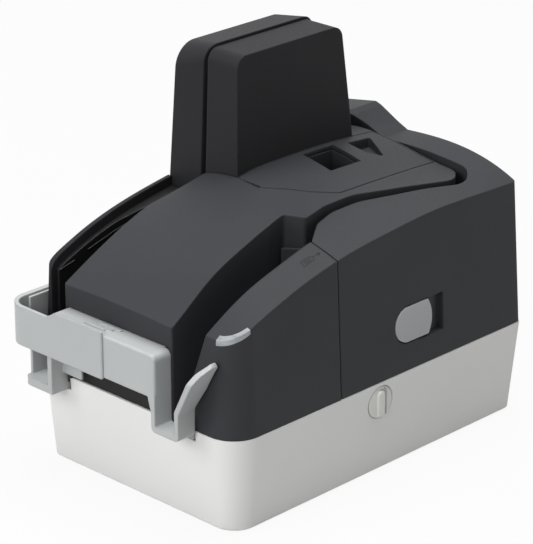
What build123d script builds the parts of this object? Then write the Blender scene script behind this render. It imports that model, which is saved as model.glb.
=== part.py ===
from build123d import *
import math
import os

# Desktop cheque scanner, in millimetres. While it is drawn, x = 0 is the left face of the
# body, y = 0 its front and the table is at z = TABLE; write_part() moves every piece so that
# the origin ends up on the table, under the middle of the whole object.

# ---- body
BODY_WIDTH = 126.0
BODY_DEPTH = 197.4
TABLE = -1.4
BASE_BOTTOM = -0.8  # the rubber feet fill the space down to the table
PARTING = 45.2  # height of the line between the white base and the dark casings
CASING_TOP = 140.0
WALL = 2.4
GAP = 0.8  # visible seam between two covers
LEFT_DRAFT = 3.3  # how far each upper side leans in between PARTING and CASING_TOP
SIDE_DRAFT = 5.0
FRONT_LEFT_RADIUS = 3.5
FRONT_RIGHT_RADIUS = 15.0
REAR_RADIUS = 3.5
SEAM_Y = 69.2  # seam between the right front cover and the rear cover
BASE_DRAFT = (2.1, 3.0, 3.1, 3.3)  # left, right, front and rear lean of the base

# ---- paper path
FLOOR = 43.0  # the cheque's lower edge runs at this height
DECK = 2.5
CHANNEL_RIGHT = 18.0  # right side of the feed channel, the island's left wall
SLOT_LEFT = 26.3  # the reading slot between the two sensor towers
SLOT_MOUTH = 24.0  # left side of the slot at its flared front end
SLOT_RIGHT = 27.5
POCKET_LEFT = 88.5
TOWER_FRONT = 80.0
TOWER_BACK = 158.4
TOWER_RIGHT = 48.5
TOWER_TOP = 188.0
TOWER_RIGHT_TOP = 187.0
TOWER_LEFT_TOP = 183.8

# ---- front tray
BAR_FRONT = -12.0
BAR_LOW = 60.0
BAR_HIGH = 81.0
SECTION_FRONT = -13.2
LOOP_LEFT = -10.4
LOOP_WALL = 2.8
LOOP_FRONT_WALL = 1.9
TRAY_WALL = 2.2
TRAY_LEFT_LOW = 39.0  # underside of the support at the feed channel
TRAY_RIGHT_LOW = 44.0  # underside of the support at the eject pocket
HOOD_FRONT = -1.5  # the bar's ends stop here, in front of the island's side walls
RUNNERS = (50.0, 77.0)  # x of the two arms that the tray slides on

# ---- rear cover hinge, release button, knob
HINGE_X = 9.5
HINGE_Y = 185.5
HINGE_PIN_RADIUS = 2.5
HINGE_GAP = 0.08
HINGE_LEVELS = ((47.0, 59.0), (112.0, 124.0))
BUTTON = (106.6, 131.7, 59.6, 76.7)  # y and z limits of the button's face
BUTTON_GAP = 0.6
LID_GAP = 0.5
LAMP_ARC = (-84, -9)  # directions in plan in which the lamp starts and ends
KNOB_Y = 96.0
KNOB_Z = 35.3
KNOB_RADIUS = 7.8

# ---- transport: centre x, centre y and rubber radius of each driven roller
DRIVEN = {
    "feed": (30.4, 45.0, 13.4),
    "entry": (36.3, 98.0, 9.4),
    "exit": (36.3, 144.0, 9.4),
    "turn": (70.0, 163.6, 12.2),
    "eject": (82.4, 98.0, 10.6),
}
# the idler that presses on it from the far side of the path
IDLERS = {
    "entry": (18.3, 98.0, 8.2),
    "exit": (18.3, 144.0, 8.2),
    "turn": (70.0, 183.0, 6.8),
    "eject": (102.0, 98.0, 8.4),
}
MOTOR = (66.0, 66.0)
PULLEY_RADIUS = 5.0
BELT_LEVEL = (45.0, 49.5)
ROLLER_LEVELS = ((54.0, 66.0), (80.0, 92.0))
SHAFT_RADIUS = 2.0
SHAFT_TOP = 103.0
BRIDGE_LEVEL = (98.0, 100.5)
RUNNING_GAP = 0.06
FIT_GAP = 0.03  # round what is pressed in or screwed down
IDLER_PIN_RADIUS = 1.5
IDLER_BRACKETS = ((50.0, 52.4), (94.0, 96.4))
BUSH_RADIUS = 4.4

# ---- electronics and fasteners
REAR_PORTS = (46.0, 70.0, 18.0)  # x of the data socket, x of the power jack, height of both
BOARD_LEVEL = 10.0
BOARD_THICKNESS = 1.6
BOARD_POSTS = [(30, 112), (94, 112), (30, 178), (94, 178)]
SCREW_RADIUS = 1.15
PLATE_PIVOT = (9.6, 58.6)
PLATE_PIN_RADIUS = 1.2
BASE_BOSSES = [(20, 30), (20, 170), (106, 30), (106, 170)]
LATCH_LEVEL = (46.4, 49.7)

# ---- outlines in plan: corner points, each with the radius that rounds it
ISLAND = [
    (18, -1.2, 1), (18, 52, 20), (27.5, 80, 14), (27.5, 158, 8), (38, 171, 12), (60, 174, 30),
    (100, 175.2, 7), (107.8, 166, 10), (100, 143, 50), (91.6, 112, 30), (92.2, 92, 20),
    (96.4, 76, 2), (87.4, 70.6, 1.5), (88.5, 60, 0),
    (88.5, -1.2, 1),
]
REAR = [
    (-6, 161.2, 0), (23, 160.7, 6), (32, 169.8, 8), (44, 175.2, 20), (62, 176.4, 30), (90, 177.8, 30),
    (104, 179, 8), (113.2, 168.4, 12), (104.8, 147, 50), (95.2, 112, 30), (95.2, 94, 20),
    (98.6, 81, 9), (106.2, 69.5, 1), (136, 69.5, 0), (136, 206, 0), (-6, 206, 0),
]
LID = [
    (49.1, 80, 0), (54, 79.6, 3), (65.2, 80.9, 4), (80, 96.7, 6), (87.5, 108.3, 5),
    (87.5, 174.4, 0), (60, 173, 0), (49.1, 172, 0),
]

# ---- heights of the upper surfaces along the depth, at a few widths (y, z)
CASING_RIDGE = [(-6, 87), (12, 96.7), (30, 102.8), (51.6, 108.7), (69, 111.9), (90, 114.7),
                (111, 116.8), (134, 118.4), (155, 118), (180, 116.6), (204, 115.4)]
CASING_CREST = [(-6, 86.6), (12, 97.8), (30, 106.4), (51.6, 113), (69, 117.6), (90, 119.6),
                (111, 120.4), (134, 121), (155, 121.6), (180, 123), (204, 124.4)]
CASING_MIDDLE = [(-6, 100), (12, 108), (30, 116), (51.6, 121), (69, 124), (90, 126),
                 (111, 126.4), (134, 126.4), (155, 126.4), (180, 126.4), (204, 126.4)]
ISLAND_LEFT = [(-6, 89.2), (0, 92.4), (24, 104.6), (46, 113.4), (68, 118.8), (82, 121),
               (108, 124), (130, 126), (158, 126.6), (190, 126)]
ISLAND_CREST = [(-6, 89.8), (0, 93.2), (24, 107.2), (46, 117), (68, 126.2), (82, 130.4),
                (108, 131.8), (130, 131.6), (158, 130.2), (190, 127.4)]
ISLAND_RIGHT = [(-6, 88.4), (0, 91.8), (24, 108.2), (46, 117.6), (68, 124), (82, 124.4),
                (108, 124.2), (130, 123.8), (158, 123), (190, 121.6)]
LEFT_WALL = [(2.6, 90), (4.2, 96.8), (12, 101.8), (25.8, 107.5), (43.8, 113), (60.6, 116.6),
             (80, 119.8)]

PIECES = {}


def block(x0, x1, y0, y1, z0, z1):
    middle = Pos((x0 + x1) / 2, (y0 + y1) / 2, (z0 + z1) / 2)
    return middle * Box(x1 - x0, y1 - y0, z1 - z0)


def post(x, y, z0, z1, radius):
    return Pos(x, y, (z0 + z1) / 2) * Cylinder(radius, z1 - z0)


def ring(x, y, z0, z1, outer, inner):
    return post(x, y, z0, z1, outer) - post(x, y, z0 - 1, z1 + 1, inner)


def rod_x(x0, x1, y, z, radius):
    return Pos((x0 + x1) / 2, y, z) * Rot(0, 90, 0) * Cylinder(radius, x1 - x0)


def rod_y(y0, y1, x, z, radius):
    return Pos(x, (y0 + y1) / 2, z) * Rot(90, 0, 0) * Cylinder(radius, y1 - y0)


def outline_face(corners):
    points = [(x, y) for x, y, radius in corners]
    radii = [radius for x, y, radius in corners]
    return make_face(FilletPolyline(*points, radius=radii, close=True))


def prism(face, z0, z1):
    return Pos(0, 0, z0) * extrude(face, z1 - z0, dir=(0, 0, 1))


def prism_x(face, x0, x1):
    """Extrudes a profile drawn as (y, z) from x0 to x1."""
    return Pos(x0, 0, 0) * extrude(Plane.YZ * face, x1 - x0, dir=(1, 0, 0))


def prism_y(face, y0, y1):
    """Extrudes a profile drawn as (x, z) from y0 to y1."""
    return Pos(0, y0, 0) * extrude(Plane.XZ * face, y1 - y0, dir=(0, 1, 0))


def under_curve(heights, lower, x0, x1, bottom):
    """Everything under a side profile, between x0 and x1."""
    points = [(y, z - lower) for y, z in heights]
    (first_y, first_z), (last_y, last_z) = points[0], points[-1]
    sides = Polyline(points[-1], (last_y, bottom), (first_y, bottom), points[0])
    return prism_x(make_face([Spline(*points), *sides.edges()]), x0, x1)


def rounded_plan(x0, x1, y0, y1, radii, z):
    """Rectangle at height z; radii run front left, front right, rear right, rear left."""
    corners = [(x0, y0), (x1, y0), (x1, y1), (x0, y1)]
    line = FilletPolyline(*corners, radius=[max(r, 1.0) for r in radii], close=True)
    return Pos(0, 0, z) * make_face(line)


def casing_block(inset):
    """Everything inside the dark casings' outer faces, set in by a wall thickness."""
    radii = [r - inset for r in (FRONT_LEFT_RADIUS, FRONT_RIGHT_RADIUS, REAR_RADIUS, REAR_RADIUS)]
    low = rounded_plan(inset, BODY_WIDTH - inset, inset, BODY_DEPTH - inset, radii, PARTING - 6)
    lean = SIDE_DRAFT
    high = rounded_plan(LEFT_DRAFT + inset, BODY_WIDTH - lean - inset, lean + inset,
                        BODY_DEPTH - lean - inset, [r - lean for r in radii], CASING_TOP)
    return loft([low, high], ruled=True)


def surface_section(x, heights, lower):
    points = [(x, y, z - lower) for y, z in heights]
    (first_x, first_y, first_z), (last_x, last_y, last_z) = points[0], points[-1]
    bottom = PARTING - 8
    sides = Polyline(points[-1], (x, last_y, bottom), (x, first_y, bottom), points[0])
    return make_face([Spline(*points), *sides.edges()])


def casing_under(lower=0.0):
    """Everything under the top surface of the right front and rear covers."""
    outer = [(y, z + (z - crest[1]) * 0.35) for (y, z), crest in zip(CASING_RIDGE, CASING_CREST)]
    sections = [surface_section(-8, CASING_MIDDLE, lower), surface_section(54, CASING_MIDDLE, lower),
                surface_section(104, CASING_CREST, lower), surface_section(129, outer, lower)]
    return loft(sections)


def island_under(lower=0.0):
    """Everything under the hood's and the island's top surface."""
    sections = [surface_section(14, ISLAND_LEFT, lower), surface_section(54, ISLAND_CREST, lower),
                surface_section(92, ISLAND_RIGHT, lower), surface_section(112, ISLAND_RIGHT, lower + 1)]
    return loft(sections)


def shell(outer, inner, region, bottom):
    """A cover with walls all round its region, open underneath."""
    outside = outer & prism(region, bottom, 200)
    inside = inner & prism(offset(region, -WALL), bottom - 1, 200)
    return outside - inside


def group(solids):
    """Identical small pieces that stay separate solids in one node."""
    together = Part()
    for solid in solids:
        together += solid
    return together


def add(name, solid):
    PIECES[name] = solid


# ---------------------------------------------------------------- white base and deck
def base_plan(z, inset):
    left, right, front, rear = [lean * (1 - z / PARTING) for lean in BASE_DRAFT]
    radii = [FRONT_LEFT_RADIUS, FRONT_RIGHT_RADIUS - front, REAR_RADIUS, REAR_RADIUS]
    return rounded_plan(left + inset, BODY_WIDTH - right - inset, front + inset,
                        BODY_DEPTH - rear - inset, [r - inset for r in radii], z)


def base_tub():
    tub = loft([base_plan(BASE_BOTTOM, 0), base_plan(PARTING, 0)], ruled=True)
    tub = fillet(tub.faces().sort_by(Axis.Z)[0].edges(), 1.5)
    tub -= loft([base_plan(BASE_BOTTOM + WALL, WALL), base_plan(PARTING + 1, WALL)], ruled=True)
    tub -= block(-4, CHANNEL_RIGHT + 0.8, -3, 4, TRAY_LEFT_LOW - 0.5, PARTING + 1)
    tub -= block(POCKET_LEFT - 0.2, 101.3, -3, 4, FLOOR - 3, PARTING + 1)
    tub -= rod_x(BODY_WIDTH - 1.6, BODY_WIDTH + 2, KNOB_Y, KNOB_Z, KNOB_RADIUS + 0.5)
    tub -= rod_x(BODY_WIDTH - 6, BODY_WIDTH, KNOB_Y, KNOB_Z, 3.1)
    usb_x, jack_x, port_z = REAR_PORTS
    tub -= block(usb_x - 6.3, usb_x + 6.3, 186, 200, port_z - 5.8, port_z + 5.8)
    tub -= rod_y(186, 200, jack_x, port_z, 4.9)
    for x, y in BASE_BOSSES:
        tub += post(x, y, BASE_BOTTOM + 1, FLOOR - DECK, 4)
        tub -= post(x, y, TABLE, FLOOR, SCREW_RADIUS + 2 * FIT_GAP)
        tub -= post(x, y, TABLE, 4, 2.9)
    for x, y in BOARD_POSTS:
        tub += ring(x, y, BASE_BOTTOM + 1, BOARD_LEVEL, 3, 1.0)
    for row in range(7):
        y = 60 + 9 * row
        tub -= block(46, 80, y, y + 3.2, TABLE, 4)
    return tub


def main_frame():
    deck_bottom = FLOOR - DECK
    deck = prism(base_plan(deck_bottom, WALL + 0.5), 0, DECK)
    front = block(CHANNEL_RIGHT + 2.6, POCKET_LEFT - 2.6, 3.2, 5.6, FLOOR, 81)
    skirt = block(CHANNEL_RIGHT + 2.7, POCKET_LEFT - 2.7, 0.8, 3.4, PARTING + 0.3, 58.5)
    frame = deck + front + skirt
    for x, y, radius in DRIVEN.values():
        frame -= post(x, y, 38, 46, BUSH_RADIUS + FIT_GAP)
    frame -= post(MOTOR[0], MOTOR[1], 38, 46, 11.2)
    for x in RUNNERS:
        frame -= block(x - 3.4, x + 3.4, 0, 8, 61.6, 66.4)
    frame += post(HINGE_X, HINGE_Y, deck_bottom - 8, FLOOR, 5.4)
    frame -= post(HINGE_X, HINGE_Y, 30, 46, HINGE_PIN_RADIUS + FIT_GAP)
    for name in ("entry", "exit"):
        x, y, radius = IDLERS[name]
        frame -= post(x, y, 38, 46, IDLER_PIN_RADIUS + FIT_GAP)
    for x, y in BASE_BOSSES:
        frame -= post(x, y, 38, 46, SCREW_RADIUS + FIT_GAP)
    return frame + block(SLOT_RIGHT, 29, 96.8, TOWER_BACK - 0.5, FLOOR, BELT_LEVEL[1] + 1.2)


# ---------------------------------------------------------------- covers
def left_panel():
    """The side wall of the feed channel, in front of the left tower."""
    plate = under_curve(LEFT_WALL, 0, 0, 4.8, PARTING)
    return plate & casing_block(0) & block(-1, 6, 0, TOWER_FRONT - 0.3, PARTING, 130)


def left_guide():
    """The inner side of the feed channel, which leads the cheques to the slot."""
    plan = [(4.9, 5.6, 0), (6.8, 5.6, 0), (7.6, 40, 40), (10.5, 58, 20), (23.8, 79.4, 0), (4.9, 79.4, 0)]
    guide = prism(outline_face(plan), FLOOR, 130) & under_curve(LEFT_WALL, 4.5, 3, 26, 30)
    guide -= block(6.8, 13.8, 23.5, 61.8, 46, 94)
    guide -= block(8.6, 20, 66, 79.5, FLOOR - 1, 110)
    return guide


def tower_profile(x, top, front_radius, rear_radius, rear):
    corners = [(TOWER_FRONT, FLOOR), (TOWER_BACK, FLOOR), (TOWER_BACK, 133), (rear, top),
               (82.6, top), (TOWER_FRONT, 119)]
    radii = [0, 0, 30, rear_radius, front_radius, 40]
    line = FilletPolyline(*corners, radius=radii, close=True)
    return Pos(x, 0, 0) * (Plane.YZ * make_face(line))


def tower_half(x_low, x_high, tops, fronts, rear):
    sections = [tower_profile(x, top, front, 6, rear) for x, top, front in zip((x_low, x_high), tops, fronts)]
    return loft(sections, ruled=True)


def tower_left_cover():
    outer = tower_half(0, SLOT_LEFT, (TOWER_LEFT_TOP, TOWER_TOP), (13, 8), 153.0)
    lean = [(WALL + 0.7, FLOOR), (SLOT_LEFT, FLOOR), (SLOT_LEFT, 190), (6.6, 190), (0.2, PARTING),
            (WALL + 0.7, PARTING)]
    outer &= prism_y(Polygon(*lean, align=None), 0, 200)
    inner = block(WALL + 6, SLOT_LEFT - WALL, 86.4, 147, FLOOR - 1, 178)
    inner += block(WALL + 3, SLOT_LEFT - WALL, TOWER_FRONT + WALL, TOWER_BACK - WALL, FLOOR - 1, 118)
    tower = outer - inner
    tower -= block(SLOT_LEFT - 4, SLOT_LEFT + 1, 114, 126, 52, 160)
    for name in ("entry", "exit"):
        x, y, radius = IDLERS[name]
        for low, high in ROLLER_LEVELS:
            tower -= block(SLOT_LEFT - 4, SLOT_LEFT + 1, y - 8, y + 8, low - 1, high + 1)
    tower -= block(SLOT_LEFT - 4, SLOT_LEFT + 1, 82.8, 88.8, 48, 64)
    flare = [(SLOT_MOUTH, TOWER_FRONT - 1), (SLOT_LEFT + 1, TOWER_FRONT - 1), (SLOT_LEFT + 1, 90),
             (SLOT_LEFT, 89)]
    return tower - prism(Polygon(*flare, align=None), FLOOR - 1, 200)


def tower_right_cover():
    outer = tower_half(SLOT_RIGHT, TOWER_RIGHT, (TOWER_RIGHT_TOP, TOWER_RIGHT_TOP), (6, 6), 152.2)
    lean = [(SLOT_RIGHT, BELT_LEVEL[1] + 1.5), (TOWER_RIGHT, BELT_LEVEL[1] + 1.5), (TOWER_RIGHT, 130),
            (TOWER_RIGHT - 2.0, 190), (SLOT_RIGHT, 190)]
    outer &= prism_y(Polygon(*lean, align=None), 0, 200)
    inner = block(SLOT_RIGHT + WALL, TOWER_RIGHT - WALL - 1.5, 86.4, 147, 40, 181)
    inner += block(SLOT_RIGHT + WALL, TOWER_RIGHT - WALL, TOWER_FRONT + WALL, TOWER_BACK - WALL, 40, 118)
    tower = outer - inner
    tower -= block(SLOT_RIGHT - 1, SLOT_RIGHT + 4, 114, 126, 52, 160)
    for name in ("entry", "exit"):
        x, y, radius = DRIVEN[name]
        for low, high in ROLLER_LEVELS:
            tower -= block(SLOT_RIGHT - 1, SLOT_RIGHT + 4, y - 7.5, y + 7.5, low - 1, high + 1)
    return tower


def island_cover():
    """The hood between the two channels and the middle of the machine, in one shell."""
    region = outline_face(ISLAND)
    island = shell(island_under(), island_under(WALL), region, FLOOR)
    island -= block(SLOT_RIGHT - 1, TOWER_RIGHT + 0.3, TOWER_FRONT - 0.3, TOWER_BACK + 0.3, FLOOR - 1, 200)
    island -= block(CHANNEL_RIGHT + WALL, POCKET_LEFT - WALL, -3, 6, FLOOR - 1, 81.5)
    island -= block(CHANNEL_RIGHT + 0.5, 22, -3, 4, FLOOR - 1, PARTING + 0.3)
    island -= block(POCKET_LEFT - WALL - 1, POCKET_LEFT + 1, -3, 4, FLOOR - 1, PARTING + 0.3)
    lid = outline_face(LID)
    island -= prism(lid, 100, 200)
    ledge = prism(offset(lid, 1.6), 90, 200) - prism(offset(lid, -3), 80, 210)
    ledge &= island_under(WALL) - island_under(WALL + 1.8)
    ledge &= prism(region, 60, 200)
    ledge -= block(SLOT_RIGHT - 1, TOWER_RIGHT + 0.3, TOWER_FRONT - 0.3, TOWER_BACK + 0.3, 60, 200)
    island += ledge
    island -= block(54.8, 63.2, 74.6, 79.4, 120, 127) + block(54.8, 63.2, 79.4, 86, 120, 131)
    island -= prism(belt_area(PULLEY_RADIUS + 2.2), BELT_LEVEL[0] - 1, BELT_LEVEL[1] + 1.4)
    for name, (x, y, radius) in DRIVEN.items():
        if name in ("feed", "turn", "eject"):
            for low, high in ROLLER_LEVELS:
                island -= post(x, y, low - 1, high + 1, radius + 0.8)
    well = block(51, 71.5, 119, 142, 112, 140) - block(52.2, 70.3, 120.2, 140.8, 113.2, 150)
    well += block(48.8, 51.5, 119, 142, 112, 140)
    return island + (well & island_under(WALL + 0.2) & prism(region, 60, 200))


def imprinter_lid():
    """The removable lid over the ink cartridge, with its square hole and finger scoop."""
    region = outline_face(ISLAND)
    face = offset(outline_face(LID), -LID_GAP)
    lid = (island_under() - island_under(WALL - 0.2)) & prism(face, 80, 200) & prism(region, 80, 200)
    pad = (island_under() - island_under(9)) & block(52.8, 76, 146.5, 168, 100, 200)
    lid += pad
    lid -= block(52, 70.5, 120, 141, 100, 200)
    scoop = [(54, 149, 0.8), (65.5, 150, 2), (72, 155.4, 1), (54.5, 164.5, 0.8)]
    lid -= prism(outline_face(scoop), 125, 140)
    hook = block(55.6, 62.4, 76.6, 84, 123.2, 125.0) + block(55.6, 62.4, 82, 84, 123.2, 129)
    return lid + hook


def right_front_cover():
    lean = [(100.5, PARTING - 2), (98.6, 69), (106, 92), (106, 140), (140, 140), (140, PARTING - 2)]
    inner_lean = [(x + WALL * (x < 120), z) for x, z in lean]
    seam = SEAM_Y - GAP / 2
    outside = prism_y(Polygon(*lean, align=None), -10, seam)
    inside = prism_y(Polygon(*inner_lean, align=None), -10, seam - WALL)
    cover = outside & casing_block(0) & casing_under()
    cover -= inside & casing_block(WALL) & casing_under(WALL)
    cover &= block(90, 140, -10, 80, PARTING, 140)
    return cover - lamp_space(0.15) - latch_window()


def latch_window():
    """Space in both covers' facing walls for the end of the latch."""
    low, high = LATCH_LEVEL
    return block(111.9, 116.1, 66, 73, low - 0.4, high + 0.4)


def lamp_space(gap):
    """A curved bean along the rounded front right ridge."""
    cx, cy = BODY_WIDTH - FRONT_RIGHT_RADIUS, FRONT_RIGHT_RADIUS
    band = ring(cx, cy, 80, 110, 24, 9.8 - gap)
    start, end = math.radians(LAMP_ARC[0] - gap), math.radians(LAMP_ARC[1] + gap)
    reach = 40
    wedge = Polygon((cx, cy), (cx + reach * math.cos(start), cy + reach * math.sin(start)),
                    (cx + reach * math.cos(end), cy + reach * math.sin(end)), align=None)
    under = Pos(116, 8, 92.0 - gap) * Rot(27, 0, 0) * Pos(0, 0, 20) * Box(60, 60, 40)
    return band & prism(wedge, 80, 110) & under


def status_lamp():
    skin = casing_block(0) & casing_under()
    skin -= casing_block(WALL) & casing_under(WALL)
    return skin & lamp_space(0.0)


def button_plan(grow):
    """Face of the release button: a half round left end and a flatter right end."""
    y0, y1, z0, z1 = BUTTON
    y0, y1, z0, z1 = y0 - grow, y1 + grow, z0 - grow, z1 + grow
    middle = (z0 + z1) / 2
    radius = (z1 - z0) / 2
    outline = [Line((y0 + radius, z1), (y1 - 2.6, z1)),
               ThreePointArc((y1 - 2.6, z1), (y1, middle), (y1 - 2.6, z0)),
               Line((y1 - 2.6, z0), (y0 + radius, z0)),
               ThreePointArc((y0 + radius, z0), (y0, middle), (y0 + radius, z1))]
    return make_face(outline)


def rear_cover():
    region = outline_face(REAR)
    bottom = PARTING + 0.4
    cover = shell(casing_block(0) & casing_under(), casing_block(WALL) & casing_under(WALL), region, bottom)
    hump = [(0, 118), (0, 130.6), (33, 136.4), (36.5, 135.2), (46.7, 129.6), (54, 126.2), (58, 118)]
    hump_inner = [(0, 100), (0, 128.2), (33, 134), (35.5, 133), (45.5, 127.4), (51, 124.4), (51, 100)]
    outer_hump = prism_y(Polygon(*hump, align=None), 150, 210)
    inner_hump = prism_y(Polygon(*hump_inner, align=None), 150, 210)
    outer_hump &= prism(region, 80, 200) & casing_block(0)
    inner_hump &= prism(offset(region, -WALL), 60, 200) & casing_block(WALL)
    cover = cover + outer_hump - inner_hump
    backing = block(117.5, 130, 101.5, 144, 55, 81) & casing_block(WALL - 0.2)
    cage = block(106, 118, 101.5, 137, 55, 81) - block(108.4, 120, 103.9, 134.6, 57.4, 78.6)
    cover += backing + cage
    recess = prism(Polygon((126.5, 115), (121.4, 140), (132, 140), (132, 115), align=None), 58.3, 77.2)
    cover -= recess
    cover -= prism_x(button_plan(BUTTON_GAP), 117, 140)
    for low, high in HINGE_LEVELS:
        cover += post(HINGE_X, HINGE_Y, low, high, 4.8)
        cover += block(0, HINGE_X, HINGE_Y + 1, HINGE_Y + 3.6, low, high) & casing_block(1)
        cover += block(HINGE_X - 2.6, HINGE_X, HINGE_Y, BODY_DEPTH, low, high) & casing_block(1)
    cover -= post(HINGE_X, HINGE_Y, 40, 126, HINGE_PIN_RADIUS + HINGE_GAP)
    for name in ("turn", "eject"):
        x, y, radius = IDLERS[name]
        for low, high in ROLLER_LEVELS:
            cover -= post(x, y, low - 1, high + 1, radius + 0.7)
        cover -= post(x, y, 52.6, 93.6, 4.4)
        for low, high in IDLER_BRACKETS:
            arm = block(x - 5, x + 5, y, BODY_DEPTH, low, high)
            if name == "eject":
                arm = block(x, BODY_WIDTH, y - 5, y + 5, low, high)
            cover += (arm + post(x, y, low, high, 4.4)) & casing_block(1)
            cover -= post(x, y, low - 1, high + 1, IDLER_PIN_RADIUS + FIT_GAP)
    cover += block(110.4, 128, 84, 90, PARTING + 0.6, 56) & casing_block(1)
    cover += block(110.4, 117.6, 124, 129, PARTING + 0.6, 56)
    low, high = LATCH_LEVEL
    cover -= block(112, 116, 80, 133, low - 0.3, high + 0.3)
    cover -= block(110.8, 114.6, 110, 121.6, 50, 60)
    return cover - latch_window()


# ---------------------------------------------------------------- hinge, button, knob
def hinge_pin():
    return post(HINGE_X, HINGE_Y, FLOOR - DECK - 8, 125.5, HINGE_PIN_RADIUS)


def release_button():
    face = prism_x(button_plan(0), 116.4, 136)
    flange = prism_x(button_plan(1.6), 114.8, 117.2)
    stem = rod_x(112, 115, 119.2, 68.2, 3)
    wedge = [(111.9, 107), (115, 107), (115, 114.6), (111.9, 111.5)]
    button = (face & casing_block(-0.3)) + flange - block(114, 118, 114.65, 121.6, 57, 62)
    return button + stem + prism(Polygon(*wedge, align=None), 58.4, 61.6)


def button_spring():
    """Coil spring that pushes the button out."""
    coil = Helix(pitch=1.9, height=5.2, radius=4.6, center=(0, 0, 0))
    wire = sweep(Plane(origin=coil @ 0, z_dir=coil % 0) * Circle(0.45), path=coil)
    return Pos(108.9, 119.2, 68.2) * Rot(0, 90, 0) * wire


def latch_hook():
    """Bar that the button's wedge pulls back out of the front cover's window."""
    low, high = LATCH_LEVEL
    bar = block(112.3, 115.7, 66.2, 129, low, high)
    tab = [(111.2, 111.1), (114.2, 114.1), (114.2, 118), (111.2, 118)]
    return bar + prism(Polygon(*tab, align=None), low, 61.6) + block(111.2, 114.2, 114.2, 118, low, high)


def base_knob():
    """Quarter-turn lock with a raised finger ridge."""
    inner, face = BODY_WIDTH - 1.4, BODY_WIDTH - 0.5
    knob = rod_x(inner, face, KNOB_Y, KNOB_Z, KNOB_RADIUS)
    ridge = rod_x(face - 0.5, face + 1.3, KNOB_Y, KNOB_Z, KNOB_RADIUS - 0.6)
    ridge &= block(face - 1, face + 2, KNOB_Y - 2.1, KNOB_Y + 2.1, KNOB_Z - 9, KNOB_Z + 9)
    stem = rod_x(BODY_WIDTH - 12, inner, KNOB_Y, KNOB_Z, 3.0)
    cam = block(BODY_WIDTH - 12, BODY_WIDTH - 9.4, KNOB_Y - 3, KNOB_Y + 3, KNOB_Z - 8, KNOB_Z + 3)
    return knob + ridge + stem + cam


# ---------------------------------------------------------------- front tray
def tray_bar(left, right):
    """Hollow bar, open underneath, with a soft top right edge and a tongue behind."""
    profile = [(left, BAR_LOW, 0), (right, BAR_LOW, 0), (right, BAR_HIGH, 3.2), (left, BAR_HIGH, 0)]
    bar = prism_y(outline_face(profile), BAR_FRONT, HOOD_FRONT)
    bar = fillet(bar.faces().sort_by(Axis.Y)[0].edges(), 1.1)
    bar += block(left, right - 4, HOOD_FRONT - 1, 2.4, BAR_LOW, BAR_HIGH)
    return bar - block(left + TRAY_WALL, right - 4.6, BAR_FRONT + TRAY_WALL, 4, BAR_LOW - 1,
                       BAR_HIGH - TRAY_WALL)


def right_support(right):
    """Leg, trough and ramp under the eject pocket."""
    low = TRAY_RIGHT_LOW
    top = low + 2.3
    line = [(83.5, BAR_LOW + 2, 0), (83.9, BAR_LOW, 2), (right - 2.3, 53, 6), (right - 2.3, low, 2.4),
            (103, low, 1.8), (103, 50, 0), (100.6, 50, 0), (100.6, top, 1), (right, top, 1),
            (right, BAR_LOW + 2, 0)]
    support = prism_y(outline_face(line), BAR_FRONT, HOOD_FRONT)
    ramp = [(-5, low + 0.3), (HOOD_FRONT, 41.2), (2.8, 41.2), (2.8, FLOOR - 0.4), (-3.2, top), (-5, top)]
    return support + prism_x(Polygon(*ramp, align=None), POCKET_LEFT + 0.3, 100.8)


def flared_fin():
    """Outer side of the right support, which bends outwards towards its tip."""
    line = [(100.6, TRAY_RIGHT_LOW + 3, 0), (103, TRAY_RIGHT_LOW + 3, 0), (103, 57.2, 5), (109.3, 69.5, 20),
            (112.6, 75.6, 30), (115.5, 80.6, 0.8), (113.7, 82.6, 0.8), (110.4, 78.1, 20), (106.8, 70.6, 20),
            (100.6, 58, 3)]
    side = [(BAR_FRONT, 30, 0), (HOOD_FRONT, 30, 0), (HOOD_FRONT, 59, 6), (0.5, 68, 6), (0.5, 84, 0),
            (-2.6, 81.4, 4), (-8.6, 78.6, 4), (BAR_FRONT, 74, 3)]
    return prism_y(outline_face(line), BAR_FRONT, 1) & prism_x(outline_face(side), 90, 130)


def left_support(left):
    """Trough under the feed channel, with a cheek outside the body and one beside the hood."""
    low = TRAY_LEFT_LOW
    plan = [(-1.9, -8.6, 2.6), (1.6, -10, 4), (17.4, -10, 0.8), (17.4, 2.1, 0), (-1.9, 2.1, 0)]
    support = prism(outline_face(plan), low, FLOOR - 0.1)
    support += block(-1.9, -0.5, -5.8, 8, FLOOR - 3, BAR_HIGH + 0.4)
    cheek = [(-10, low, 0), (0, low, 1), (2.1, 44, 3), (2.1, 58, 3), (-2, BAR_LOW + 2, 0), (-10, BAR_LOW + 2, 0)]
    support += prism_x(outline_face(cheek), 14.6, 17.4)
    support += block(14.6, left + 3, -10, -7.6, BAR_LOW, BAR_LOW + 2.4)
    return support + block(15, 30, -2.9, -1.7, 48.2, BAR_LOW + 2)


def front_tray():
    """Pull-out bar with a support under each channel and the flared guide fin."""
    left, right = CHANNEL_RIGHT + 2.6, POCKET_LEFT - 0.3
    tray = tray_bar(left, right) + right_support(right) + flared_fin() + left_support(left)
    for x in RUNNERS:
        tray += block(x - 3, x + 3, BAR_FRONT + 1, 58, 62.4, 65.6)
        tray += block(x - 3, x + 3, 56, 58, 62.4, 67.4)
    for row in range(3):
        y = -8.2 + 2.4 * row
        tray += block(38 + 3 * row, 52 + 3 * row, y, y + 0.9, BAR_HIGH - 0.2, BAR_HIGH + 0.5)
    return tray


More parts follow.
